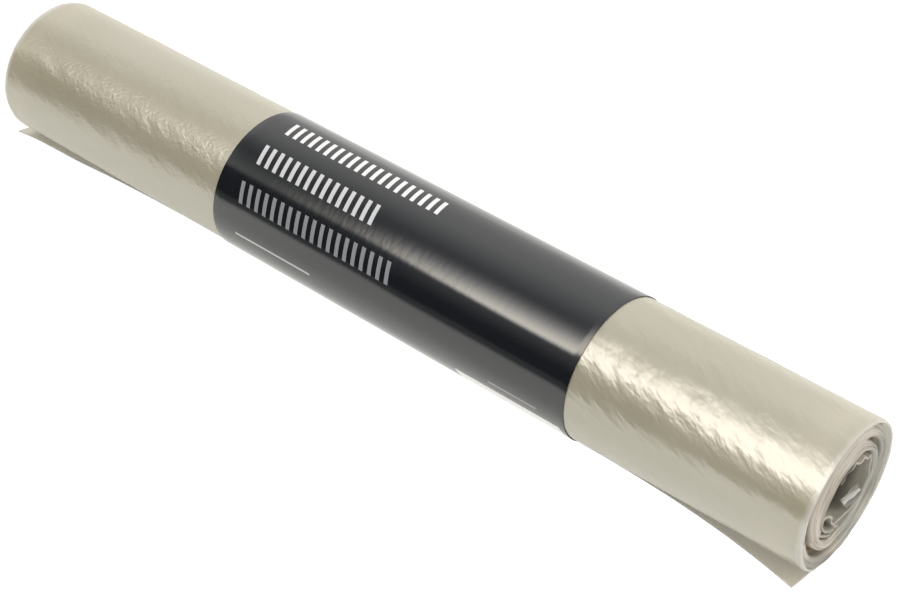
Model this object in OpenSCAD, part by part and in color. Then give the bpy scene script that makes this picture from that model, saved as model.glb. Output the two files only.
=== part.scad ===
// Roll of refuse sacks: folded plastic film wound without a core and held by a printed belly band.
// The roll lies along X on a small flat spot, z = 0 is the surface that it lies on, and the middle
// of its length is x = 0. Film winds outwards from the top over +Y, under the roll and on to -Y,
// where the loose tail peels off. Angles are measured from the top towards +Y.

/* [Roll] */
// Width of a sack folded once, which is the outer turn's length along X
sack_w = 362; // [200:1:620]
// Width of the roll across Y
roll_w = 53.8; // [46:0.1:90]
// Height of the roll
roll_h = 50.9; // [44:0.1:90]
// Width of the flat spot that the soft roll settles on
flat_w = 12; // [4:0.5:16]
// Turns of bunched film between the hollow and the outer turn, the last of which runs out early
turns = 3; // [2:1:4]
// Share of each turn's room that stays open as a gap
gap_share = 0.1; // [0.05:0.01:0.25]
// Further share that stays open where the crushed turns bend tightly
bend_gap_share = 0.22; // [0:0.01:0.4]
// Angle of the upper tight bend, the lower one being opposite
bend_angle = 52; // [0:1:90]
// How hard the turns are pressed together low on the back: at 1 they touch, beyond it they fuse
press = 1.3; // [0:0.1:1.6]
// How far the turns are pushed inwards low on the front, as a share of their room
sag = 0.6; // [0:0.1:0.9]
// Lean of the pack's ends, as the turns wander towards -X from the front to the back
lean = 0.045; // [0:0.005:0.05]
// How far the ends of the turns stand out of line with each other
stagger = 1; // [0:0.1:1.5]

/* [Outer turn] */
// Thickness of the folded film in the outer turn
film_t = 0.5; // [0.3:0.05:0.8]
// How far the outer turn stands out past the pack at the +X end
rim_right = 3; // [2:0.5:10]
// How far the outer turn stands out past the pack at the -X end
rim_left = 2; // [2:0.5:10]
// How far the film wanders towards -X between the front of the outer turn and the tail
drift = 3.3; // [0:0.1:8]
// How far the outer turn stands off the pack at the upper tight bend
slack = 0.8; // [0:0.1:2.5]

/* [Crushed hollow] */
// Length of the hollow's section along its long axis
hollow_l = 27; // [14:0.5:28]
// Length of the hollow's section along its short axis
hollow_t = 20; // [10:0.5:21]
// Tilt of the long axis, up towards +Y
hollow_tilt = 25; // [0:1:60]
// Middle of the hollow beside the roll's middle, towards +Y
hollow_y = 6; // [0:0.5:8]
// Middle of the hollow below the roll's middle
hollow_drop = 5.5; // [0:0.5:7]

/* [Inner end] */
// Thickness of the bunched film at the roll's inner end
inner_t = 1; // [0.6:0.1:1.2]

/* [Tail] */
// Length of loose film past the roll's lowest line, at mid-length
tail_l = 22.5; // [10:0.5:30]
// How much longer the tail is at the +X end than at the -X end
tail_skew = 3; // [-6:0.5:6]
// Radius of the curl that the tail keeps where it has peeled off
tail_curl_r = 110; // [60:5:300]
// How late the tail peels off between the band and the ends: 1 is steady, more is later
tail_peel = 2.6; // [1:0.1:4]

/* [Belly band] */
// Width of the band along X
band_w = 158; // [60:1:180]
// Middle of the band, from the middle of the roll's length
band_x = 13; // [-20:1:20]
// Thickness of the band's film
band_t = 0.25; // [0.15:0.05:0.4]
// Clearance between the band and the roll
band_fit = 0.1; // [0.05:0.05:0.3]
// Width of the glued lap where the band's ends meet, low on the back
band_lap = 12; // [6:1:20]

/* [Hidden] */

// Angle between neighbouring points round the roll
step = 6;
// Depth that the outer turn is bonded to the pack by
bond = 0.2;
// Air between the tail and the start of the outer turn above it
tail_air = 0.1;
// Angle over which the outer turn's start rises out of the pack
start_rise = 60;
// Length over which the roll settles from the band's edge to the floor
settle_l = 8;
// Angles at which the film starts to wander and at which its tail ends
drift_from = -90;
tail_end = 225;
// Angle at the middle of the band's lap
lap_angle = 125;
// Angle at which the first turn starts, and how far short of a whole turn the last one stops
first_angle = -100;
last_short = 180;
// Share of the pack's room that the first turn starts with, and the angle over which it thickens
first_share = 0.08;
thickening = 110;
// Angle at which the turns are pressed together
press_angle = 135;
// Angle at which the turns are pushed inwards the most
sag_angle = -120;
// Sharpness of the outer turn's slack and of the gaps at the tight bends, both about the bend angle
slack_power = 12;
bend_power = 6;
// Turn between the shifts along X of neighbouring turns
stagger_turn = 110;
// Spans of the curve between neighbouring places of the inner end
fold_steps = 4;
// Crowding of the stations along X towards the roll's ends: 1 is even
crowding = 0.8;
// Spans round each half of the band's lap
lap_steps = 4;

// Angle and level of places along the film's inner end: down the front from the first turn's start
// to a crease, then up, over and down into the hollow, along its bottom and up to its top
folds = [
    [[-84, 0.25], [-92, 0.23], [-108, 0.19], [-130, 0.165], [-148, 0.165], [-161, 0.16], [-172, 0.11]],
    [[-174, 0.11], [-163, 0], [-148, -0.04], [-127, 0], [-108, 0.05], [-91, 0.03],
     [-84, -0.07], [-95, -0.17], [-120, -0.22], [-150, -0.25], [-178, -0.19], [-205, 0],
     [-240, 0.07], [-270, 0.07], [-300, 0.05], [-315, -0.04], [-330, 0.05], [-345, -0.04],
     [-360, 0.05], [-376, 0.05], [-392, 0.04]]];

// Spans of the tail on each side of the band, and spans along its length
tail_spans = 8;
tail_steps = 9;

half_w = roll_w / 2;
half_h = roll_h / (1 + sqrt(1 - pow(flat_w / roll_w, 2)));
mid_z = roll_h - half_h;
// The roll gives way under the band, so that both lie on the floor
seat = band_t + band_fit;
band_left = band_x - band_w / 2;
band_right = band_x + band_w / 2;
film_right = (sack_w + drift) / 2;
pack_right = film_right - rim_right;
pack_left = film_right - sack_w + rim_left;

function lerp(a, b, t) = a + (b - a) * t;
function smooth(t) = let (c = min(1, max(0, t))) c * c * (3 - 2 * c);

// Point of the roll's oval, set in from its surface, and no lower than low
function oval(angle, inset, low) =
    [(half_w - inset) * sin(angle), max(low, mid_z + (half_h - inset) * cos(angle))];

// How deep the outer turn's start lies below the oval, to make room for the tail below it
function start_inset(angle) = (film_t + tail_air) * (1 - smooth((angle + 180) / start_rise));

// Angle brought into the range from -180 to 180
function wrapped(angle) = angle - 360 * floor((angle + 180) / 360);

// Outer boundary of the pack: bonded into the outer turn, and clear of it at the upper tight bend
function pack_outside(angle) =
    let (skin = start_inset(wrapped(angle)),
         clear = (slack + bond) * pow(max(0, cos(angle - bend_angle)), slack_power))
    oval(angle, skin + film_t - bond + clear, skin + (seat + film_t) / 2);

// Boundary of the crushed hollow
function hollow(angle) =
    let (along = hollow_l / 2 * sin(angle + hollow_tilt), across = hollow_t / 2 * cos(angle + hollow_tilt))
    [hollow_y + along * cos(hollow_tilt) - across * sin(hollow_tilt),
     mid_z - hollow_drop + along * sin(hollow_tilt) + across * cos(hollow_tilt)];

// Point between the hollow, level 0, and the outer boundary, level 1
function pack_point(angle, level) =
    let (l = min(level, 1), pushed = sag * l * (1 - l) * pow(max(0, cos(angle - sag_angle)), 2))
    lerp(hollow(angle), pack_outside(angle), l - pushed);

// Level of the spiral that the turns lie on, and the share of a turn's room that is open
function wound_level(angle) = (angle - first_angle) / (360 * turns - last_short);
function open_share(angle) =
    gap_share * (1 - press * pow(max(0, cos(angle - press_angle)), 2))
    + bend_gap_share * pow(cos(angle - bend_angle), bend_power);

// Levels of a turn's faces: the first turn starts thin, close under the next one
function outer_level(angle) =
    wound_level(angle) + (1 - open_share(angle)) * wound_level(first_angle + 360);
function inner_level(angle) =
    lerp(outer_level(angle) - first_share, wound_level(angle), smooth((angle - first_angle) / thickening));

// Point of a smooth curve through places, at a share u of the way from place k to the next one
function curve_point(places, k, u) =
    let (a = places[max(k - 1, 0)],
         b = places[k],
         c = places[k + 1],
         d = places[min(k + 2, len(places) - 1)],
         bent = 2 * b + (c - a) * u + (2 * a - 5 * b + 4 * c - d) * u * u
             + (3 * b - a - 3 * c + d) * u * u * u)
    lerp(hollow(bent[0] / 2), pack_outside(bent[0] / 2), bent[1] / 2);

module bag_roll() {
    color([0.78, 0.75, 0.67])
        union() {
            wound_pack();
            outer_turn();
        }
}

// The turns of one long spiral strip, each shifted a little along X, with the folded inner end
module wound_pack() {
    multmatrix([[1, -lean, 0, 0], [0, 1, 0, 0], [0, 0, 1, 0]]) {
        for (places = folds)
            along_x(pack_left, pack_right) strip(places);
        for (k = [0 : turns - 1]) {
            shift = stagger * sin(stagger_turn * k);
            along_x(pack_left + shift, pack_right + shift) wound_turn(k);
        }
    }
}

// Extrudes a section, drawn with Y across and Z up, between two places on X
module along_x(from, to) {
    translate([from, 0, 0])
        rotate([90, 0, 90])
            linear_extrude(to - from) children();
}

// Section of one turn, which runs a step into the next one; the last one thins out to a blunt edge
module wound_turn(k) {
    from = first_angle + 360 * k;
    to = from + 360 + (k < turns - 1 ? step : -last_short - 3 * step);
    polygon(concat(
        [for (a = [from : step : to]) pack_point(a, outer_level(a))],
        [for (a = [to : -step : from]) pack_point(a, inner_level(a))]));
}

// Section of bunched film of even thickness along the curve through places
module strip(places) {
    middle = concat(
        [for (k = [0 : len(places) - 2], j = [0 : fold_steps - 1]) curve_point(places, k, j / fold_steps)],
        [curve_point(places, len(places) - 2, 1)]);
    last = len(middle) - 1;
    ways = [for (i = [0 : last]) middle[min(i + 1, last)] - middle[max(i - 1, 0)]];
    sides = [for (way = ways) [-way[1], way[0]] / norm(way) * inner_t / 2];
    polygon(concat(
        [for (i = [0 : last]) middle[i] + sides[i]],
        [for (i = [last : -1 : 0]) middle[i] - sides[i]]));
}

// Floor under the outer turn: raised where the band passes below it
function floor_z(x) =
    seat * (1 - smooth(max(band_left - x, x - band_right) / settle_l));

// Share by which the tail has peeled off at x: none at the band, all at the ends
function peeled(x) =
    let (out = x < band_left ? (band_left - x) / (band_left + film_right)
                             : (x - band_right) / (film_right - band_right))
    pow(min(1, max(0, out)), tail_peel);

// Point of the outer turn on the roll, where depth is measured in from its outer face
function turn_point(angle, x, depth) =
    let (inset = start_inset(angle) + depth)
    oval(angle, inset, floor_z(x) + inset);

// Point of the tail at a length past the roll's lowest line, on the roll and peeled off it
function tail_point(length, x, depth) =
    let (held = oval(180 + length / half_w * 180 / PI, depth, floor_z(x) + depth),
         free = max(0, length - flat_w / 2),
         turned = free / tail_curl_r * 180 / PI,
         loose = [-min(length, flat_w / 2) - (tail_curl_r - depth) * sin(turned),
                  floor_z(x) + tail_curl_r - (tail_curl_r - depth) * cos(turned)])
    lerp(held, loose, peeled(x));

// Stations along X, ends included, that take the bends of the tail and of the seat under the band
function stations() = concat(
    [for (k = [tail_spans : -1 : 1])
        lerp(band_left - settle_l, -film_right, pow(k / tail_spans, crowding))],
    [band_left - settle_l, band_left - settle_l / 2, band_left,
     band_right, band_right + settle_l / 2, band_right + settle_l],
    [for (k = [1 : tail_spans])
        lerp(band_right + settle_l, film_right, pow(k / tail_spans, crowding))]);

// Place of a station at an angle: the first and last follow the wandering edges of the film,
// whose rim at the +X end rises out of the pack's end with the outer turn
function edge_shift(angle) = drift * min(1, max(0, (angle - drift_from) / (tail_end - drift_from)));
function rim_start(angle) = rim_right * (1 - smooth((angle + 180) / start_rise));
function station_x(xs, i, angle) =
    i == 0 ? film_right - sack_w - edge_shift(angle)
    : i == len(xs) - 1 ? film_right - edge_shift(angle) - rim_start(angle)
    : xs[i];

// The outer turn and its tail as one thin sheet, from the roll's lowest line round to the tail's edge
module outer_turn() {
    xs = stations();
    around = 360 / step;
    columns = around + tail_steps + 1;
    rows = len(xs);

    function sheet_point(i, j, depth) =
        j <= around
        ? let (angle = -180 + j * step, x = station_x(xs, i, angle))
            concat(x, turn_point(angle, x, depth))
        : let (t = (j - around) / tail_steps,
               x = station_x(xs, i, lerp(180, tail_end, t)),
               length = t * (tail_l + tail_skew * x / sack_w))
            concat(x, tail_point(length, x, depth));

    function at(side, i, j) = (side * rows + i) * columns + j;
    function quad(a, b, c, d) = [[a, b, c], [a, c, d]];

    points = [for (side = [0, 1], i = [0 : rows - 1], j = [0 : columns - 1]) sheet_point(i, j, side * film_t)];
    faces = concat(
        [for (i = [0 : rows - 2], j = [0 : columns - 2])
            each quad(at(0, i, j), at(0, i, j + 1), at(0, i + 1, j + 1), at(0, i + 1, j))],
        [for (i = [0 : rows - 2], j = [0 : columns - 2])
            each quad(at(1, i, j), at(1, i + 1, j), at(1, i + 1, j + 1), at(1, i, j + 1))],
        [for (i = [0 : rows - 2])
            each quad(at(0, i, 0), at(0, i + 1, 0), at(1, i + 1, 0), at(1, i, 0))],
        [for (i = [0 : rows - 2], j = [columns - 1])
            each quad(at(0, i, j), at(1, i, j), at(1, i + 1, j), at(0, i + 1, j))],
        [for (j = [0 : columns - 2])
            each quad(at(0, 0, j), at(1, 0, j), at(1, 0, j + 1), at(0, 0, j + 1))],
        [for (i = [rows - 1], j = [0 : columns - 2])
            each quad(at(0, i, j), at(0, i, j + 1), at(1, i, j + 1), at(1, i, j))]);
    polyhedron(points, faces);
}

// Closed sleeve of printed film, with its glued lap low on the back
module label_band() {
    color([0.13, 0.13, 0.14])
        along_x(band_left, band_right)
            difference() {
                union() {
                    polygon([for (a = [0 : step / 2 : 359]) oval(a, -band_fit - band_t, 0)]);
                    lap_section();
                }
                polygon([for (a = [0 : step / 2 : 359]) oval(a, -band_fit, band_t)]);
            }
}

// Section of the band's outer end, one film thickness proud of the band below it
module lap_section() {
    half = band_lap / 2 / half_w * 180 / PI;
    polygon(concat(
        [for (k = [-lap_steps : lap_steps])
            oval(lap_angle + half * k / lap_steps, -band_fit - 2 * band_t, 0)],
        [for (k = [lap_steps : -1 : -lap_steps])
            oval(lap_angle + half * k / lap_steps, -band_fit - band_t / 2, 0)]));
}

bag_roll();
label_band();
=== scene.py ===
"""A roll of translucent refuse sacks on its side: its wound film, loose tail and printed belly band."""

from math import cos, degrees, exp, pi, radians, sin, sqrt

import bmesh
import bpy
from mathutils import Matrix, Vector, noise


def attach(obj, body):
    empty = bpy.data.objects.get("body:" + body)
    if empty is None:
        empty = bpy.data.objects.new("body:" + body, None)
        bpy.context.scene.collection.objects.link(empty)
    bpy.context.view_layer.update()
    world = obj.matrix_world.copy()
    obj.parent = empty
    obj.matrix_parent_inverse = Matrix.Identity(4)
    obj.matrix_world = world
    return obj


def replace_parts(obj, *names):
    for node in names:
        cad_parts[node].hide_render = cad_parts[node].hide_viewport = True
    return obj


MM = 0.001

# Sizes of the roll in millimetres and degrees, as the part's source has them.
# Angles are measured from the top towards +Y, and the film winds outwards that way.
SACK_WIDTH = 362.0  # a sack folded once, which is the outer turn's length along X
ROLL_WIDTH = 53.8
ROLL_HEIGHT = 50.9
FLAT_WIDTH = 12.0  # the flat spot that the soft roll settles on

TURNS = 3  # turns of bunched film between the hollow and the outer turn
FIRST_ANGLE = -100.0  # where the first turn starts
LAST_SHORT = 180.0  # how far short of a whole turn the last one stops
OVERRUN = 6.0  # angle by which a turn runs into the next one
FIRST_SHARE = 0.08  # share of the pack's room that the first turn starts with
THICKENING = 110.0  # angle over which the first turn thickens
GAP_SHARE = 0.1  # share of each turn's room that stays open
BEND_GAP_SHARE = 0.22  # further share that stays open at the two tight bends
BEND_ANGLE = 52.0  # the upper tight bend, the lower one being opposite
BEND_POWER = 6  # sharpness of the gaps at the tight bends
PRESS = 1.3  # how hard the turns are pressed together low on the back
PRESS_ANGLE = 135.0
SAG = 0.6  # how far the turns are pushed inwards low on the front, as a share of their room
SAG_ANGLE = -120.0
LEAN = 0.045  # how far the turns wander towards -X from the front to the back
STAGGER = 1.0  # how far the turns' ends stand out of line with each other
STAGGER_TURN = 110.0  # turn between the shifts along X of neighbouring turns

FILM = 0.5  # thickness of the outer turn
BOND = 0.2  # depth that the outer turn is bonded to the pack by
SLACK = 0.8  # how far the outer turn stands off the pack at the upper tight bend
SLACK_POWER = 12  # sharpness of that slack
RIM_RIGHT = 3.0  # how far the outer turn stands out past the pack at the +X end
RIM_LEFT = 2.0
START_RISE = 60.0  # angle over which the outer turn's start rises out of the pack
DRIFT = 3.3  # how far the film wanders towards -X between these two angles
DRIFT_FROM = -90.0
TAIL_END = 225.0

TAIL_LENGTH = 22.5  # loose film past the roll's lowest line, at mid-length
TAIL_SKEW = 3.0  # how much longer the tail is at the +X end than at the -X end
TAIL_CURL = 110.0  # radius of the curl that the tail keeps where it has peeled off
TAIL_PEEL = 2.6  # how late the tail peels off between the band and the ends
TAIL_AIR = 0.1  # air between the tail and the start of the outer turn above it

HOLLOW_LENGTH = 27.0
HOLLOW_THICKNESS = 20.0
HOLLOW_TILT = 25.0  # tilt of the hollow's long axis, up towards +Y
HOLLOW_Y = 6.0
HOLLOW_DROP = 5.5  # middle of the hollow below the roll's middle
INNER_END = 1.0  # thickness of the bunched film at the roll's inner end

BAND_WIDTH = 158.0
BAND_X = 13.0
BAND = 0.25  # thickness of the band's film
BAND_FIT = 0.1  # clearance between the band and the roll
BAND_LAP = 12.0
LAP_ANGLE = 125.0
SETTLE = 8.0  # length over which the roll settles from the band's edge to the floor

# Angle and level of places along the film's inner end: down the front from the first turn's start
# to a crease, then up, over and down into the hollow, along its bottom and up to its top
FOLDS = [
    [(-84, 0.25), (-92, 0.23), (-108, 0.19), (-130, 0.165), (-148, 0.165), (-161, 0.16), (-172, 0.11)],
    [(-174, 0.11), (-163, 0), (-148, -0.04), (-127, 0), (-108, 0.05), (-91, 0.03),
     (-84, -0.07), (-95, -0.17), (-120, -0.22), (-150, -0.25), (-178, -0.19), (-205, 0),
     (-240, 0.07), (-270, 0.07), (-300, 0.05), (-315, -0.04), (-330, 0.05), (-345, -0.04),
     (-360, 0.05), (-376, 0.05), (-392, 0.04)]]

HALF_WIDTH = ROLL_WIDTH / 2
HALF_HEIGHT = ROLL_HEIGHT / (1 + sqrt(1 - (FLAT_WIDTH / ROLL_WIDTH) ** 2))
MIDDLE = ROLL_HEIGHT - HALF_HEIGHT
SEAT = BAND + BAND_FIT
BAND_LEFT = BAND_X - BAND_WIDTH / 2
BAND_RIGHT = BAND_X + BAND_WIDTH / 2
FILM_RIGHT = (SACK_WIDTH + DRIFT) / 2
FILM_LEFT = FILM_RIGHT - SACK_WIDTH
PACK_RIGHT = FILM_RIGHT - RIM_RIGHT
PACK_LEFT = FILM_LEFT + RIM_LEFT
ROUND_ARC = 2 * pi * HALF_WIDTH

# The camera, fitted to the roll's edges, band and end in the photograph, in millimetres and degrees
EYE = (382.38, -421.99, 492.86)
EYE_AZIMUTH = 40.533
EYE_ELEVATION = 40.622
EYE_ROLL = -0.2155
LENS = 84.517
SENSOR = 36.0


def lerp(a, b, t):
    return a + (b - a) * t


def smooth(t):
    """A smooth step, 0 up to t = 0 and 1 from t = 1"""
    t = min(1.0, max(0.0, t))
    return t * t * (3 - 2 * t)


def bell(value, middle, spread):
    return exp(-(((value - middle) / spread) ** 2))


def turned(angle):
    """The angle brought into the range from -180 to 180"""
    return (angle + 180) % 360 - 180


def oval(angle, inset, low):
    """(y, z) of a point of the roll's oval, set in from its surface and no lower than low"""
    a = radians(angle)
    return (HALF_WIDTH - inset) * sin(a), max(low, MIDDLE + (HALF_HEIGHT - inset) * cos(a))


def start_inset(angle):
    """How deep the outer turn's start lies below the oval, to make room for the tail below it"""
    return (FILM + TAIL_AIR) * (1 - smooth((angle + 180) / START_RISE))


def pack_outside(angle):
    """(y, z) of the pack's outside: bonded into the outer turn, and clear of it at the upper tight bend"""
    skin = start_inset(turned(angle))
    clear = (SLACK + BOND) * max(0.0, cos(radians(angle - BEND_ANGLE))) ** SLACK_POWER
    return oval(angle, skin + FILM - BOND + clear, skin + (SEAT + FILM) / 2)


def hollow(angle):
    """(y, z) of the crushed hollow's edge"""
    tilt, a = radians(HOLLOW_TILT), radians(angle + HOLLOW_TILT)
    along, across = HOLLOW_LENGTH / 2 * sin(a), HOLLOW_THICKNESS / 2 * cos(a)
    return (HOLLOW_Y + along * cos(tilt) - across * sin(tilt),
            MIDDLE - HOLLOW_DROP + along * sin(tilt) + across * cos(tilt))


def between_ovals(angle, level):
    """(y, z) between the hollow, level 0, and the pack's outside, level 1"""
    inner, outer = hollow(angle), pack_outside(angle)
    return lerp(inner[0], outer[0], level), lerp(inner[1], outer[1], level)


def pack_point(angle, level):
    """(y, z) of the pack at a level, pushed inwards low on the front"""
    level = min(level, 1.0)
    level -= SAG * level * (1 - level) * max(0.0, cos(radians(angle - SAG_ANGLE))) ** 2
    return between_ovals(angle, level)


def wound_level(angle):
    """Level of the spiral that the turns lie on"""
    return (angle - FIRST_ANGLE) / (360 * TURNS - LAST_SHORT)


def open_share(angle):
    """Share of a turn's room that is open at an angle"""
    pressed = PRESS * max(0.0, cos(radians(angle - PRESS_ANGLE))) ** 2
    return GAP_SHARE * (1 - pressed) + BEND_GAP_SHARE * cos(radians(angle - BEND_ANGLE)) ** BEND_POWER


def outer_level(angle):
    """Level of a turn's outer face"""
    return wound_level(angle) + (1 - open_share(angle)) * wound_level(FIRST_ANGLE + 360)


def inner_level(angle):
    """Level of a turn's inner face: the first turn starts thin and close to the one over it"""
    thickened = smooth((angle - FIRST_ANGLE) / THICKENING)
    return lerp(outer_level(angle) - FIRST_SHARE, wound_level(angle), thickened)


def curve_point(places, t):
    """(y, z) on a smooth curve through places, at a share t of the way along it"""
    last = len(places) - 1
    k = min(int(t * last), last - 1)
    u = t * last - k
    p = [Vector(places[min(max(i, 0), last)]) for i in range(k - 1, k + 3)]
    angle, level = (p[1] * 2 + (p[2] - p[0]) * u + (p[0] * 2 - p[1] * 5 + p[2] * 4 - p[3]) * u * u
                    + (p[1] * 3 - p[0] - p[2] * 3 + p[3]) * u ** 3) / 2
    return between_ovals(angle, level)


def floor_under(x):
    """Height of what the film lies on: the band below it, or the floor"""
    return SEAT * (1 - smooth(max(BAND_LEFT - x, x - BAND_RIGHT) / SETTLE))


def peeled(x):
    """Share by which the tail has peeled off: none at the band, all at the ends"""
    if x < BAND_LEFT:
        out = (BAND_LEFT - x) / (BAND_LEFT + FILM_RIGHT)
    else:
        out = (x - BAND_RIGHT) / (FILM_RIGHT - BAND_RIGHT)
    return min(1.0, max(0.0, out)) ** TAIL_PEEL


def film_point(angle, x, depth):
    """(y, z) of the outer turn on the roll, at a depth in from its outer face"""
    inset = start_inset(angle) + depth
    return oval(angle, inset, floor_under(x) + inset)


def tail_point(length, x):
    """(y, z) of the tail's outer face at a length past the roll's lowest line"""
    held = oval(180 + degrees(length / HALF_WIDTH), 0, floor_under(x))
    free = max(0.0, length - FLAT_WIDTH / 2) / TAIL_CURL
    loose = (-min(length, FLAT_WIDTH / 2) - TAIL_CURL * sin(free),
             floor_under(x) + TAIL_CURL - TAIL_CURL * cos(free))
    off = peeled(x)
    return lerp(held[0], loose[0], off), lerp(held[1], loose[1], off)


def edge_shift(angle):
    """How far the wandering edges of the film lie towards -X at an angle"""
    return DRIFT * min(1.0, max(0.0, (angle - DRIFT_FROM) / (TAIL_END - DRIFT_FROM)))


def grid_piece(name, place, material, columns, rows):
    """A sheet of quads: place(s, t), with s and t from 0 to 1, gives a point and its own flat place,
    both in millimetres"""
    shape = bmesh.new()
    bmesh.ops.create_grid(shape, x_segments=columns, y_segments=rows, size=0.5)
    flat = shape.loops.layers.uv.new("flat")
    places = {}
    for vertex in shape.verts:
        point, own = place(vertex.co.x + 0.5, vertex.co.y + 0.5)
        places[vertex.index] = own
        vertex.co = Vector(point) * MM
    for face in shape.faces:
        for loop in face.loops:
            loop[flat].uv = [value * MM for value in places[loop.vert.index]]
    return finished(shape, name, material)


def finished(shape, name, material):
    """The shape as a piece of the roll, with smooth faces that point outwards"""
    bmesh.ops.recalc_face_normals(shape, faces=shape.faces)
    mesh = bpy.data.meshes.new(name)
    shape.to_mesh(mesh)
    shape.free()
    mesh.materials.append(material)
    mesh.shade_smooth()
    piece = bpy.data.objects.new(name, mesh)
    bpy.context.scene.collection.objects.link(piece)
    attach(piece, "root")
    return piece


def thicken(piece, thickness):
    """Gives a sheet its thickness in millimetres, behind its outer face"""
    thick = piece.modifiers.new("thickness", "SOLIDIFY")
    thick.thickness = thickness * MM
    thick.offset = -1


def rgb(red, green, blue):
    """An opaque colour"""
    return red, green, blue, 1.0


WHITE = rgb(1, 1, 1)


class Nodes:
    """A node tree with short calls for the nodes used here"""

    def __init__(self, owner):
        owner.use_nodes = True
        self.tree = owner.node_tree
        self.tree.nodes.clear()

    def add(self, kind, settings=None, **inputs):
        node = self.tree.nodes.new(kind)
        for name, value in (settings or {}).items():
            setattr(node, name, value)
        for name, value in inputs.items():
            self.feed(node.inputs[name.replace("_", " ")], value)
        return node

    def feed(self, socket, value):
        if isinstance(value, bpy.types.NodeSocket):
            self.tree.links.new(value, socket)
        else:
            socket.default_value = value

    def math(self, operation, *values):
        node = self.add("ShaderNodeMath", {"operation": operation})
        for socket, value in zip(node.inputs, values):
            self.feed(socket, value)
        return node.outputs[0]

    def plus(self, first, *others):
        for other in others:
            first = self.math("ADD", first, other)
        return first

    def times(self, first, *others):
        for other in others:
            first = self.math("MULTIPLY", first, other)
        return first

    def step(self, value, start, end, low=0.0, high=1.0):
        """A smooth step of value, from low at start to high at end"""
        node = self.add("ShaderNodeMapRange", {"interpolation_type": "SMOOTHSTEP"})
        for name, number in {"Value": value, "From Min": start, "From Max": end,
                             "To Min": low, "To Max": high}.items():
            self.feed(node.inputs[name], number)
        return node.outputs["Result"]

    def step_mm(self, length, start, end, low=0.0, high=1.0):
        """A smooth step of a length, with start and end in millimetres"""
        return self.step(length, start * MM, end * MM, low, high)

    def between_mm(self, length, low, high, soft):
        """1 where a length lies between low and high, with soft edges, all in millimetres"""
        return self.times(self.step_mm(length, low - soft, low + soft),
                          self.step_mm(length, high + soft, high - soft))

    def mix(self, share, first, second):
        """A colour between first and second"""
        # The node has sockets for every kind of value: 6 and 7 are its two colours, and output 2 their mix
        node = self.add("ShaderNodeMix", {"data_type": "RGBA"})
        for socket, value in zip((node.inputs[0], node.inputs[6], node.inputs[7]), (share, first, second)):
            self.feed(socket, value)
        return node.outputs[2]

    def noise(self, place, scale, stretch=(1, 1, 1), turn=0.0, detail=2.0):
        """Noise on a place in metres; stretch squeezes it along each axis after the turn about Z"""
        bent = self.add("ShaderNodeMapping", Vector=place, Rotation=(0, 0, radians(turn)))
        drawn = self.add("ShaderNodeMapping", Vector=bent.outputs[0], Scale=stretch)
        grain = self.add("ShaderNodeTexNoise", Vector=drawn.outputs[0], Scale=scale, Detail=detail)
        return grain.outputs["Fac"]

    def bump(self, height, depth):
        """Relief of a depth in millimetres"""
        return self.add("ShaderNodeBump", Height=height, Strength=1.0, Distance=depth * MM).outputs[0]

    def split(self, vector):
        return self.add("ShaderNodeSeparateXYZ", Vector=vector).outputs[:]

    def flat_place(self):
        """A piece's own flat place: along and across its sheet, in metres"""
        return self.add("ShaderNodeUVMap", {"uv_map": "flat"}).outputs["UV"]

    def object_place(self):
        return self.split(self.add("ShaderNodeTexCoord").outputs["Object"])

    def mix_shaders(self, share, first, second):
        both = self.add("ShaderNodeMixShader", Fac=share)
        self.tree.links.new(first.outputs[0], both.inputs[1])
        self.tree.links.new(second.outputs[0], both.inputs[2])
        return both

    def finish(self, kind, shader):
        self.add(kind, Surface=shader.outputs[0])


# The film where the turns lie behind it, in slow patches
CREAM_DEEP, CREAM_PALE = rgb(0.405, 0.377, 0.27), rgb(0.445, 0.417, 0.315)
# The film with nothing behind it, at the rims and in the tail
RIM_WHITE, TAIL_CREAM = rgb(0.78, 0.765, 0.74), rgb(0.57, 0.525, 0.43)
# Painted shade on the loose flap's folds, dark where the hollow shades them, and painted glints on them,
# bright
FLAP_PAINTED_SHADE, FLAP_PAINTED_GLINT = rgb(0.15, 0.155, 0.12), rgb(0.85, 0.85, 0.8)
# The light that comes through the bare film, and through film on the turns
BARE_GLOW, BACKED_GLOW = rgb(0.93, 0.92, 0.89), rgb(0.86, 0.82, 0.7)
# Places along X between which the film's wrinkles turn from crisp to soft
CRISP_TO, SOFT_FROM = -40.0, -70.0
# Where the flap's own flat place lies along X, past the film's
FLAP_FROM = FILM_RIGHT + 5


def film_relief(nodes, place, soft):
    """Fine slanted wrinkles, with more grain and less height where they are soft"""
    slanted = nodes.noise(place, 280, (0.45, 1, 1), turn=28)
    fine = nodes.noise(place, 560, (0.6, 1, 1), turn=34, detail=1)
    grain = nodes.noise(place, 900, (0.8, 1, 1), turn=-20)
    slanted = nodes.times(slanted, nodes.step(soft, 0, 1, 1.0, 0.6))
    grain = nodes.times(grain, nodes.step(soft, 0, 1, 0.05, 0.4))
    return nodes.bump(nodes.plus(slanted, nodes.times(fine, 0.15), grain), 0.34)


def outward_share(nodes):
    """1 on faces that look away from the roll's middle, 0 on those that look towards it"""
    y, z = nodes.object_place()[1:]
    facing_y, facing_z = nodes.split(nodes.add("ShaderNodeNewGeometry").outputs["Normal"])[1:]
    upwards = nodes.times(nodes.math("SUBTRACT", z, MIDDLE * MM), facing_z)
    return nodes.step_mm(nodes.plus(nodes.times(y, facing_y), upwards), -4, 4)


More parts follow.
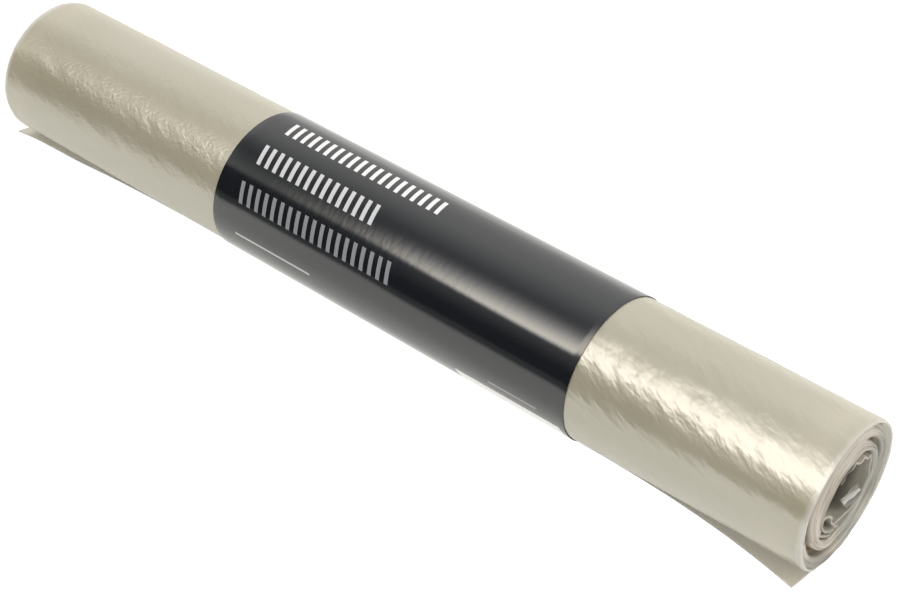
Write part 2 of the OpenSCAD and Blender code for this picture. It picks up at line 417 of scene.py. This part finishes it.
def film_material():
    """Satin translucent film over the turns below it: cream, with fine slanted wrinkles in its sheen"""
    material = bpy.data.materials.new("sack_film")
    nodes = Nodes(material)
    place = nodes.flat_place()
    along, arc = nodes.split(place)[:2]
    soft = nodes.step_mm(along, CRISP_TO, SOFT_FROM)
    bump = film_relief(nodes, place, soft)
    patches = nodes.noise(place, 22, (0.4, 1, 1), detail=3)
    cream = nodes.mix(nodes.step(patches, 0.3, 0.7), CREAM_DEEP, CREAM_PALE)
    tail_from, tail_to = ROUND_ARC / 2, ROUND_ARC / 2 + 3
    inside_rims = nodes.between_mm(along, FILM_LEFT + 1, FILM_RIGHT - 1.4, 1.4)
    backed = nodes.times(inside_rims, outward_share(nodes), nodes.step_mm(arc, tail_to, tail_from))
    bare = nodes.mix(nodes.step_mm(arc, tail_from, tail_to), RIM_WHITE, TAIL_CREAM)
    # Painted shade and painted glints on the loose flap, in streaks
    glint_streaks = nodes.noise(place, 420, (0.12, 1, 1))
    flap_shade_and_glints = nodes.mix(nodes.step(glint_streaks, 0.48, 0.6), FLAP_PAINTED_SHADE, FLAP_PAINTED_GLINT)
    bare = nodes.mix(nodes.step_mm(along, FLAP_FROM - 3, FLAP_FROM - 2), bare, flap_shade_and_glints)
    skin = nodes.add("ShaderNodeBsdfPrincipled", Base_Color=nodes.mix(backed, bare, cream), IOR=3.0,
                     Normal=bump, Roughness=nodes.step(soft, 0, 1, 0.27, 0.3))
    through = nodes.mix(backed, BARE_GLOW, BACKED_GLOW)
    glow = nodes.add("ShaderNodeBsdfTranslucent", Color=through, Normal=bump)
    both = nodes.mix_shaders(nodes.step(backed, 0, 1, 0.5, 0.12), skin, glow)
    nodes.finish("ShaderNodeOutputMaterial", both)
    return material


# The dark and the pale of the layers: at the turns' front, at their back, and in the inner end's folds
WARM_LAYERS = rgb(0.43, 0.385, 0.315), rgb(0.68, 0.63, 0.55)
GREY_LAYERS = rgb(0.41, 0.41, 0.36), rgb(0.53, 0.525, 0.48)
FOLD_LAYERS = rgb(0.36, 0.345, 0.29), rgb(0.58, 0.55, 0.48)
# Painted shade on the film low on the front; painted light on the walls of the gaps at their mouths, and
# painted shade on them deep in
LOW_PAINTED_SHADE = rgb(0.33, 0.3, 0.25)
GAP_PAINTED_LIGHT, GAP_PAINTED_SHADE = rgb(0.9, 0.82, 0.7), rgb(0.3, 0.27, 0.22)
# Painted shade on the folds' edges inside the hollow and on their walls deep in the hollow, and the plain
# tone of their walls deep in, low in the crease
HOLLOW_EDGE_PAINTED_SHADE = rgb(0.13, 0.122, 0.1)
HOLLOW_DEEP_PAINTED_SHADE, CREASE_DEEP = rgb(0.09, 0.085, 0.068), rgb(0.52, 0.48, 0.4)
# Where the folds' own flat place starts, past the end of the turns'
FOLD_FROM = 300.0


def turns_material():
    """The bunched film of the inner turns, seen at its edges: pale and warm, with fine layers, painted
    shade low on the front, in the gaps and in the hollow, and painted light at the gaps' mouths
    """
    material = bpy.data.materials.new("wound_film")
    nodes = Nodes(material)
    place = nodes.flat_place()
    layers = nodes.noise(place, 900, (0.08, 1, 1))
    crumple = nodes.noise(place, 160, (0.6, 1, 1), turn=15, detail=3)
    bump = nodes.bump(nodes.plus(nodes.times(layers, 0.5), crumple), 0.3)
    layered = nodes.step(layers, 0.35, 0.65)
    x, y, z = nodes.object_place()
    from_end = nodes.math("SUBTRACT", PACK_RIGHT * MM, nodes.math("ABSOLUTE", x))
    below = nodes.math("SUBTRACT", MIDDLE * MM, z)
    backwards = nodes.plus(nodes.times(below, 0.5), y)
    frontwards = nodes.plus(nodes.times(y, -0.7), below)

    turns = nodes.mix(nodes.step_mm(backwards, 8, 16), nodes.mix(layered, *WARM_LAYERS),
                      nodes.mix(layered, *GREY_LAYERS))
    # Painted shade low on the front, painted light on the gaps' walls near their mouths, and painted shade
    # on them deeper in
    turns = nodes.mix(nodes.step_mm(frontwards, 23.5, 27), turns, LOW_PAINTED_SHADE)
    turns = nodes.mix(nodes.step_mm(from_end, 1.5, 3), turns, GAP_PAINTED_LIGHT)
    turns = nodes.mix(nodes.step_mm(from_end, 6, 20), turns, GAP_PAINTED_SHADE)

    # Painted shade on the folds' edges inside the hollow and on their walls deep in it; a plain tone deep
    # in the crease
    in_hollow = nodes.times(nodes.step_mm(y, 8, 4), nodes.step_mm(frontwards, 6, 2))
    folds = nodes.mix(in_hollow, nodes.mix(layered, *FOLD_LAYERS), HOLLOW_EDGE_PAINTED_SHADE)
    deep = nodes.mix(nodes.step_mm(frontwards, 11, 14.5), HOLLOW_DEEP_PAINTED_SHADE, CREASE_DEEP)
    folds = nodes.mix(nodes.step_mm(from_end, 3, 10), folds, deep)

    folded = nodes.step_mm(nodes.split(place)[0], FOLD_FROM - 80, FOLD_FROM - 20)
    colour = nodes.mix(folded, turns, folds)
    skin = nodes.add("ShaderNodeBsdfPrincipled", Base_Color=colour, Roughness=0.35, IOR=1.8, Normal=bump)
    glow = nodes.add("ShaderNodeBsdfTranslucent", Color=colour, Normal=bump)
    nodes.finish("ShaderNodeOutputMaterial", nodes.mix_shaders(0.2, skin, glow))
    return material


# Plain printed fields on the band: first and last place along X, first and last angle from the top
# towards the front, and their grey. Rows of slanted bars have a spacing, plain fields have none.
# The three rows of bars are white print, and their greys, darker lower down the front, are painted shade.
PRINTED = [
    (-55.4, 15.6, -16.0, 1.0, rgb(0.76, 0.76, 0.78), 3.65),
    (-55.4, -1.4, 17.0, 34.0, rgb(0.62, 0.63, 0.66), 3.74),
    (-55.4, 14.6, 50.0, 67.0, rgb(0.27, 0.28, 0.3), 3.79),
    (-55.4, -19.4, 94.6, 96.6, rgb(0.5, 0.5, 0.5), 0),
    (60.6, 80.6, 101.0, 103.0, rgb(0.25, 0.25, 0.25), 0),
    (46.6, 90.6, 111.0, 140.0, rgb(0.8, 0.8, 0.8), 0),
]
SLANT = 0.2  # lean of the bars and of the fields' ends
BAR_SHARE = 0.45  # share of the spacing that a bar takes
BAR_SOFT = 0.01
PRINT_SOFT = 0.04
BAND_BLACK, BAND_BLACK_PALE = rgb(0.0076, 0.0098, 0.0132), rgb(0.0112, 0.0128, 0.016)


def band_material():
    """Glossy near-black film, printed with plain rows of slanted bars and plain fields"""
    material = bpy.data.materials.new("band_film")
    nodes = Nodes(material)
    place = nodes.flat_place()
    along, arc = nodes.split(place)[:2]
    colour = nodes.mix(nodes.noise(place, 30), BAND_BLACK, BAND_BLACK_PALE)
    for start, end, first, last, grey, spacing in PRINTED:
        top, bottom = [-radians(angle) * HALF_WIDTH for angle in (first, last)]
        from_middle = nodes.math("SUBTRACT", arc, (top + bottom) / 2 * MM)
        leaning = nodes.plus(nodes.times(from_middle, SLANT), along)
        inside = nodes.times(nodes.between_mm(leaning, start, end, PRINT_SOFT),
                             nodes.between_mm(arc, bottom, top, PRINT_SOFT))
        if spacing:
            past = nodes.math("SUBTRACT", leaning, start * MM)
            phase = nodes.math("FRACT", nodes.math("DIVIDE", past, spacing * MM))
            bars = nodes.step(phase, BAR_SHARE + BAR_SOFT, BAR_SHARE - BAR_SOFT)
            inside = nodes.times(inside, bars)
        # The greys of the three rows of bars, darker lower down the front, are painted shade on white print
        colour = nodes.mix(inside, colour, grey)
    waves = nodes.noise(place, 28, (0.25, 1, 1))
    ripples = nodes.noise(place, 480, (1, 0.35, 1))
    ink = nodes.add("ShaderNodeBsdfPrincipled", Base_Color=colour, Roughness=0.12, IOR=1.85,
                    Normal=nodes.bump(nodes.plus(nodes.times(ripples, 0.03), waves), 0.6))
    nodes.finish("ShaderNodeOutputMaterial", ink)
    return material


# Places along X and the share of the film's columns up to each, with few of them under the band
FILM_COLUMNS = [(FILM_LEFT, 0.0), (FILM_LEFT + 3, 0.02), (BAND_LEFT + 1, 0.45), (BAND_RIGHT - 1, 0.50),
                (FILM_RIGHT - 4, 0.96), (FILM_RIGHT, 1.0)]

# Wrinkles in the film: height, slant to the roll's length, length, width and seed
WRINKLES = [(0.12, 0.0, 55, 11, 3), (0.11, 0.4, 15, 4.2, 7), (0.02, 0.5, 7, 2.2, 5)]
FLAT_BESIDE_BAND = 0.5  # how far past the band's edges the film stays flat
WRINKLE_RISE = 6.0  # length over which the wrinkles then rise to their height

# A shallow bulge along the front near the +X end: its height, where it starts along X and the length
# over which it rises, and its middle and spread round the roll
BULGE = 0.9
BULGE_FROM = 110.0
BULGE_RISE = 60.0
BULGE_ARC = -30.0
BULGE_SPREAD = 8.0

ROUND_SHARE = ROUND_ARC / (ROUND_ARC + TAIL_LENGTH)
EDGE_REACH = 12.0  # length at each end that follows the film's wandering edge
RIM_CURL = 0.5  # how far the rims curl in, and the shares of the columns that curl at each end
CURL_LEFT = 0.008
CURL_RIGHT = 0.014
SETTLED_ANGLE = 150.0  # past this angle from the top the film lies smooth on the floor side
SETTLING = 15.0
CORNER_LIFT = 2.4  # lift of the tail's corner at the -X end, and the length that lifts
CORNER_REACH = 35.0


def film_x(share):
    """Place along X at a share of the film's columns"""
    for (x0, s0), (x1, s1) in zip(FILM_COLUMNS, FILM_COLUMNS[1:]):
        if share <= s1:
            return lerp(x0, x1, (share - s0) / (s1 - s0))
    return FILM_RIGHT


def wrinkle(x, arc):
    """Height of the film's wrinkles and of its bulge, which die out towards the band"""
    height = 0.0
    for size, slant, length, width, seed in WRINKLES:
        height += size * noise.noise(Vector(((x - slant * arc) / length, (arc + slant * x) / width, seed)))
    height += BULGE * smooth((x - BULGE_FROM) / BULGE_RISE) * bell(arc, BULGE_ARC, BULGE_SPREAD)
    from_band = max(BAND_LEFT - x, x - BAND_RIGHT)
    return height * smooth((from_band - FLAT_BESIDE_BAND) / WRINKLE_RISE)


def film_place(s, t):
    """Point of the outer turn and its tail, from the roll's lowest line round to the tail's edge"""
    x = film_x(s)
    tail_share = (t - ROUND_SHARE) / (1 - ROUND_SHARE)
    if t <= ROUND_SHARE:
        angle = -180 + 360 * t / ROUND_SHARE
        arc = radians(angle) * HALF_WIDTH
    else:
        angle = lerp(180, TAIL_END, tail_share)
        arc = ROUND_ARC / 2 + tail_share * TAIL_LENGTH
    edge = max(smooth((FILM_LEFT + EDGE_REACH - x) / EDGE_REACH),
               smooth((x - FILM_RIGHT + EDGE_REACH) / EDGE_REACH))
    tucked = RIM_RIGHT * (1 - smooth((angle + 180) / START_RISE)) if x > 0 else 0
    x -= edge * (edge_shift(angle) + tucked)
    if t <= ROUND_SHARE:
        curled = RIM_CURL * (1 - smooth(min(s / CURL_LEFT, (1 - s) / CURL_RIGHT)))
        unsettled = smooth((SETTLED_ANGLE - abs(angle)) / SETTLING)
        y, z = film_point(angle, x, (curled - wrinkle(x, arc)) * unsettled)
    else:
        length = tail_share * (TAIL_LENGTH + TAIL_SKEW * x / SACK_WIDTH)
        y, z = tail_point(length, x)
        near_corner = smooth((FILM_LEFT + CORNER_REACH - x) / CORNER_REACH)
        z += CORNER_LIFT * near_corner * smooth(length / TAIL_LENGTH)
    return (x, y, z), (x, arc)


def make_film(material):
    film = grid_piece("outer_film", film_place, material, columns=260, rows=150)
    thicken(film, FILM)
    film.modifiers.new("normals", "WEIGHTED_NORMAL")
    return film


# Shares of a strip section's points on each of its two faces and at each of its two rounded ends
FACE_SHARE, END_SHARE = 0.2, 0.3
TURN_ROUND = 1.4  # depth of the turns' rounded ends
TURN_RIPPLE = 0.5  # unevenness of the turns' ends round the spiral, and between their layers
TURN_LAYERS = 0.5
STRIP_ROUND = 0.4  # depth of the inner end's rounded ends
STRIP_WAVE = 1.4  # unevenness of the inner end's ends, which stand back by STRIP_BACK
STRIP_BACK = 0.8
LOOSE = 0.8  # how far the inner end's folds waver, over the last LOOSE_REACH of the roll
LOOSE_REACH = 25.0
NEARBY = 0.002  # share of a strip's length over which its direction is taken

# The strips' own flat places run along the film and across its layers: how far across one turn, from
# one turn to the next and across the inner end, where that starts, how far it goes along, and how much
# the place along X adds, so that the layers change along the roll
TURN_ACROSS = 8.0
TURN_APART = 10.0
STRIP_ACROSS = 2.0
STRIP_FROM = 50.0
FOLD_ALONG = 80.0
ACROSS_PER_X = 0.2


def section_place(s, edge):
    """Place along X, and share w of the thickness, of a point round a strip's section with rounded ends"""
    if s < FACE_SHARE:
        return lerp(PACK_LEFT + edge, PACK_RIGHT - edge, s / FACE_SHARE), 0.0
    if 0.5 <= s < 0.5 + FACE_SHARE:
        return lerp(PACK_RIGHT - edge, PACK_LEFT + edge, (s - 0.5) / FACE_SHARE), 1.0
    w = (s - FACE_SHARE) / END_SHARE if s < 0.5 else 1 - (s - (0.5 + FACE_SHARE)) / END_SHARE
    back = edge * (1 - sqrt(max(0.0, 1 - (2 * w - 1) ** 2)))
    return (PACK_RIGHT - back if s < 0.5 else PACK_LEFT + back), w


def close_tube(tube):
    """Welds the seam of a rolled-up grid and closes its two ends"""
    shape = bmesh.new()
    shape.from_mesh(tube.data)
    bmesh.ops.remove_doubles(shape, verts=shape.verts, dist=0.00001)
    bmesh.ops.holes_fill(shape, edges=[edge for edge in shape.edges if edge.is_boundary])
    bmesh.ops.recalc_face_normals(shape, faces=shape.faces)
    shape.to_mesh(tube.data)
    shape.free()


def make_turn(index, material):
    """One turn of bunched film: t runs along the spiral and s round its section"""
    start = FIRST_ANGLE + 360 * index
    end = start + 360 + (OVERRUN if index < TURNS - 1 else -LAST_SHORT - 3 * OVERRUN)
    shift = STAGGER * sin(radians(STAGGER_TURN * index))

    def place(s, t):
        angle = lerp(start, end, t)
        x, w = section_place(s, TURN_ROUND)
        side = 1 if x > 0 else -1
        ripple = TURN_RIPPLE * noise.noise(Vector((angle / 40, index * 5.0, 11 * side)))
        layers = TURN_LAYERS * noise.noise(Vector((angle / 90, w * 13 + index * 20, 5 * side)))
        x += shift + side * (ripple + layers * sin(pi * w))
        y, z = pack_point(angle, lerp(inner_level(angle), outer_level(angle), w))
        across = w * TURN_ACROSS + index * TURN_APART + x * ACROSS_PER_X
        return (x - LEAN * y, y, z), (radians(angle) * HALF_WIDTH / 2, across)

    turn = grid_piece(f"turn_{index + 1}", place, material, columns=160, rows=240)
    close_tube(turn)


def make_strip(name, places, material):
    """A strip of the film's inner end, of even thickness along the curve through places"""
    def place(s, t):
        x, w = section_place(s, STRIP_ROUND)
        side = 1 if x > 0 else -1
        middle = curve_point(places, t)
        ahead = curve_point(places, min(t + NEARBY, 1.0))
        behind = curve_point(places, max(t - NEARBY, 0.0))
        along = Vector((ahead[0] - behind[0], ahead[1] - behind[1])).normalized()
        near_end = smooth((side * x - PACK_RIGHT + LOOSE_REACH) / LOOSE_REACH)
        loose = LOOSE * near_end * noise.noise(Vector((middle[0] / 4, x / 30, middle[1] / 4)))
        off = loose + INNER_END * (0.5 - w)
        wave = noise.noise(Vector((middle[0] / 5, 2 + middle[1] / 5, 6 * side)))
        x += side * (STRIP_WAVE * wave - STRIP_BACK)
        y, z = middle[0] - along.y * off, middle[1] + along.x * off
        across = w * STRIP_ACROSS + STRIP_FROM + x * ACROSS_PER_X
        return (x - LEAN * y, y, z), (FOLD_FROM + t * FOLD_ALONG, across)

    strip = grid_piece(name, place, material, columns=60, rows=15 * len(places))
    close_tube(strip)


# Corners of the loose flap of film across the hollow: (x, y, z)
FLAP = ((177.0, 4.4, 17.4), (177.2, 13.4, 17.6), (177.8, 7.2, 12.2), (178.4, 15.0, 12.6))
FLAP_THICKNESS = 0.2
FLAP_PLEATS = 2.4  # pleats across the flap, how deep they are, and how unevenly they run
PLEAT_DEPTH = 0.5
PLEAT_WAVER = 1.2
FLAP_WAVE_X = 0.5  # how far the flap waves along the roll, and up and down
FLAP_WAVE_Z = 0.4
FLAP_WIDE, FLAP_HIGH = 12.0, 7.0  # size of its own flat place


def make_flap(material):
    """The loose glossy flap of film inside the hollow's mouth"""
    def place(s, t):
        a, b, c, d = [Vector(corner) for corner in FLAP]
        point = a.lerp(b, s).lerp(c.lerp(d, s), t)
        pleat = sin(2 * pi * FLAP_PLEATS * t + PLEAT_WAVER * noise.noise(Vector((s * 1.6, t, 3))))
        point.x += PLEAT_DEPTH * pleat + FLAP_WAVE_X * noise.noise(Vector((s * 2.2, t * 2, 8)))
        point.z += FLAP_WAVE_Z * noise.noise(Vector((s * 2.5, 6, t)))
        return tuple(point), (FLAP_FROM + s * FLAP_WIDE, t * FLAP_HIGH)

    flap = grid_piece("hollow_flap", place, material, columns=60, rows=60)
    thicken(flap, FLAP_THICKNESS)


LAP_RISE = 6.0  # angle over which the band climbs on to itself at the lap
BAND_WAVE = 0.03
BAND_SHY = 0.02  # how much thinner the band is made, so that it stays off the film below it


def band_place(s, t):
    """Point of the band's outer face: once round, and over itself at the lap"""
    lap = degrees(BAND_LAP / HALF_WIDTH)
    angle = LAP_ANGLE - lap / 2 + (360 + lap) * t
    over = smooth((angle - LAP_ANGLE - 360 + lap / 2 + LAP_RISE) / LAP_RISE)
    x = lerp(BAND_LEFT, BAND_RIGHT, s)
    wave = BAND_WAVE * noise.noise(Vector((x / 60, angle / 20, 2)))
    y, z = oval(angle, -BAND_FIT - BAND - over * BAND + wave, 0)
    return (x, y, z), (x, radians(turned(angle)) * HALF_WIDTH)


def make_band(material):
    band = grid_piece("belly_band", band_place, material, columns=60, rows=200)
    thicken(band, BAND - BAND_SHY)
    band.modifiers.new("normals", "WEIGHTED_NORMAL")
    return band


FLOOR_REACH = 8.0  # half the floor's side, in metres
FLOOR_DROP = 0.2  # how far the floor lies below the roll, which keeps their faces apart
FLOOR_GREY, FLOOR_SHEEN = rgb(0.9, 0.9, 0.9), rgb(0.97, 0.965, 0.92)
SEEN_WHITE = 1.15  # level at which the camera sees the floor
SEEN_SHARE = 0.85  # share of that white, the rest being the matt floor with the roll's shadow


def floor_material():
    """A matt floor, white to the camera, that the roll's sheen shows pale near its front"""
    material = bpy.data.materials.new("plain_floor")
    nodes = Nodes(material)
    ray = nodes.add("ShaderNodeLightPath").outputs
    eye = ray["Is Camera Ray"]
    mirrored = nodes.math("MAXIMUM", ray["Is Glossy Ray"], ray["Is Transmission Ray"])
    seen = nodes.math("MAXIMUM", eye, mirrored)
    along, across = nodes.object_place()[:2]
    far_level = nodes.step_mm(along, -50, -130, 1.0, 1.17)
    beside_level = nodes.step_mm(along, -50, -130, 0.3, 0.05)
    pale = nodes.plus(nodes.step_mm(across, -270, -140, 0.0, far_level),
                      nodes.step_mm(across, -60, -20, 0.0, beside_level))
    level = nodes.math("MAXIMUM", pale, nodes.times(eye, SEEN_WHITE))
    matt = nodes.add("ShaderNodeBsdfDiffuse", Color=FLOOR_GREY)
    white = nodes.add("ShaderNodeEmission", Color=nodes.mix(eye, FLOOR_SHEEN, WHITE), Strength=level)
    nodes.finish("ShaderNodeOutputMaterial", nodes.mix_shaders(nodes.times(seen, SEEN_SHARE), matt, white))
    return material


def make_floor():
    floor_sheet = bpy.data.meshes.new("floor")
    shape = bmesh.new()
    bmesh.ops.create_grid(shape, x_segments=1, y_segments=1, size=FLOOR_REACH)
    shape.to_mesh(floor_sheet)
    shape.free()
    floor_sheet.materials.append(floor_material())
    ground = bpy.data.objects.new("floor", floor_sheet)
    ground.location.z = -FLOOR_DROP * MM
    bpy.context.scene.collection.objects.link(ground)


# The sheen of the roll's +X end shows the room in directions with X above NEAR_EDGE, that of the band
# those below it, and that of the -X end those past FAR_EDGE. The light changes between each pair of X.
NEAR_EDGE = (-0.42, -0.38)
FAR_HALF = (-0.47, -0.56)
FAR_EDGE = (-0.58, -0.61)
GREEN_FROM = (-0.5, -0.6)  # where the panel turns from cream to a trace of green
GLOW_END = (-0.5, -0.56)  # where the faint glow under the panel ends

# The panel: the tilts over which its light grows, by a power, and those of its lower edge, in degrees.
# Both lie higher by these lifts past the band's near edge.
PANEL_RISE = (-8, 50)
PANEL_POWER = 2.3
PANEL_EDGE = (49.5, 41)
NEAR_RISE_LIFT = 17.0
NEAR_EDGE_LIFT = 2.5
PANEL_LEVEL = 7.1
NEAR_PANEL_LEVEL = 4.5
FAR_PANEL_SHARE = 0.05
BESIDE_LEVEL = 0.29

ROOM_WHITE = rgb(1, 0.99, 0.97)
PANEL_CREAM = rgb(1, 0.92, 0.8)
PANEL_GREEN = rgb(0.93, 1, 0.93)
CAMERA_WHITE = 1.1


def panel_light(nodes, x, tilt):
    """Share of the panel's light: it grows from overhead down to the panel's sharp lower edge"""
    rise = nodes.step(nodes.plus(tilt, nodes.step(x, *NEAR_EDGE, 0.0, NEAR_RISE_LIFT)), *PANEL_RISE)
    lower_edge = nodes.step(nodes.plus(tilt, nodes.step(x, *NEAR_EDGE, 0.0, NEAR_EDGE_LIFT)), *PANEL_EDGE)
    return nodes.times(nodes.math("POWER", rise, PANEL_POWER), lower_edge)


def room_light(nodes, x, tilt):
    """Level of the room round the panel: bright behind and dark in front, with a faint glow under the panel
    and an even one beside it, past the band's far edge"""
    behind = nodes.plus(nodes.step(tilt, 30, -45, 0.01, 0.86), nodes.step(tilt, -70, -110, 0.0, 0.25))
    under = nodes.times(nodes.step(tilt, 20, 45), nodes.step(tilt, 76, 50, 0.0, 0.25),
                        nodes.step(x, *GLOW_END, 1.0, 0.0))
    front = nodes.times(nodes.step(tilt, 4, 22), nodes.step(tilt, 48.5, 42.5))
    overhead = nodes.times(nodes.step(tilt, -4, -20), nodes.step(tilt, -60, -35, 0.0, 0.5))
    beside = nodes.times(nodes.plus(front, overhead), nodes.step(x, *FAR_EDGE, 0.0, BESIDE_LEVEL))
    return nodes.plus(behind, under, beside)


def light_room():
    """A pale room, bright behind the roll and dark in front, with a soft panel above the front"""
    world = bpy.data.worlds.new("room")
    bpy.context.scene.world = world
    nodes = Nodes(world)
    x, y, z = nodes.split(nodes.add("ShaderNodeTexCoord").outputs["Generated"])
    # How far a direction tilts from straight up towards the front, in degrees
    tilt = nodes.times(nodes.math("ARCTAN2", nodes.times(y, -1.0), z), 180 / pi)
    panel = panel_light(nodes, x, tilt)
    panel_level = nodes.times(nodes.step(x, *FAR_HALF, 1.0, FAR_PANEL_SHARE),
                              nodes.step(x, *NEAR_EDGE, PANEL_LEVEL, NEAR_PANEL_LEVEL))
    shine = nodes.plus(nodes.times(panel, panel_level), room_light(nodes, x, tilt))
    ray = nodes.add("ShaderNodeLightPath").outputs
    plain = nodes.math("MAXIMUM", nodes.step(tilt, 100, 0, 0.4, 1.45),
                       nodes.times(ray["Is Camera Ray"], CAMERA_WHITE))
    strength = nodes.add("ShaderNodeMix", Factor=ray["Is Glossy Ray"], A=plain, B=shine)
    panel_tint = nodes.mix(nodes.step(x, *GREEN_FROM), PANEL_CREAM, PANEL_GREEN)
    glow = nodes.add("ShaderNodeBackground", Color=nodes.mix(panel, ROOM_WHITE, panel_tint),
                     Strength=strength.outputs[0])
    nodes.finish("ShaderNodeOutputWorld", glow)


def place_camera():
    camera = bpy.data.objects.new("camera", bpy.data.cameras.new("camera"))
    camera.data.lens, camera.data.sensor_width = LENS, SENSOR
    azimuth, elevation, roll = [radians(a) for a in (EYE_AZIMUTH, EYE_ELEVATION, EYE_ROLL)]
    back = Vector((sin(azimuth) * cos(elevation), -cos(azimuth) * cos(elevation), sin(elevation)))
    right = Vector((cos(azimuth), sin(azimuth), 0))
    up = back.cross(right)
    right = right * cos(roll) + up * sin(roll)
    up = back.cross(right)
    turn = Matrix((right, up, back)).transposed().to_4x4()
    camera.matrix_world = Matrix.Translation(Vector(EYE) * MM) @ turn
    bpy.context.scene.collection.objects.link(camera)
    bpy.context.scene.camera = camera


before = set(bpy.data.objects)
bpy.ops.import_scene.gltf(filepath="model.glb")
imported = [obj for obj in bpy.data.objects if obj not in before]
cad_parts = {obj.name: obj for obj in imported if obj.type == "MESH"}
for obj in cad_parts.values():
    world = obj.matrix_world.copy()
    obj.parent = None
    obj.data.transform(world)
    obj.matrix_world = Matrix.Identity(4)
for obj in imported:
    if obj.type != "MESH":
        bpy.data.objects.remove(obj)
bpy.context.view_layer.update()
film, wound, printed = film_material(), turns_material(), band_material()
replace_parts(make_film(film), "bag_roll")
for index in range(TURNS):
    make_turn(index, wound)
for name, places in zip(("inner_fold", "inner_end"), FOLDS):
    make_strip(name, places, wound)
make_flap(film)
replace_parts(make_band(printed), "label_band")
make_floor()
light_room()
place_camera()
bpy.context.scene.view_settings.view_transform = "Standard"
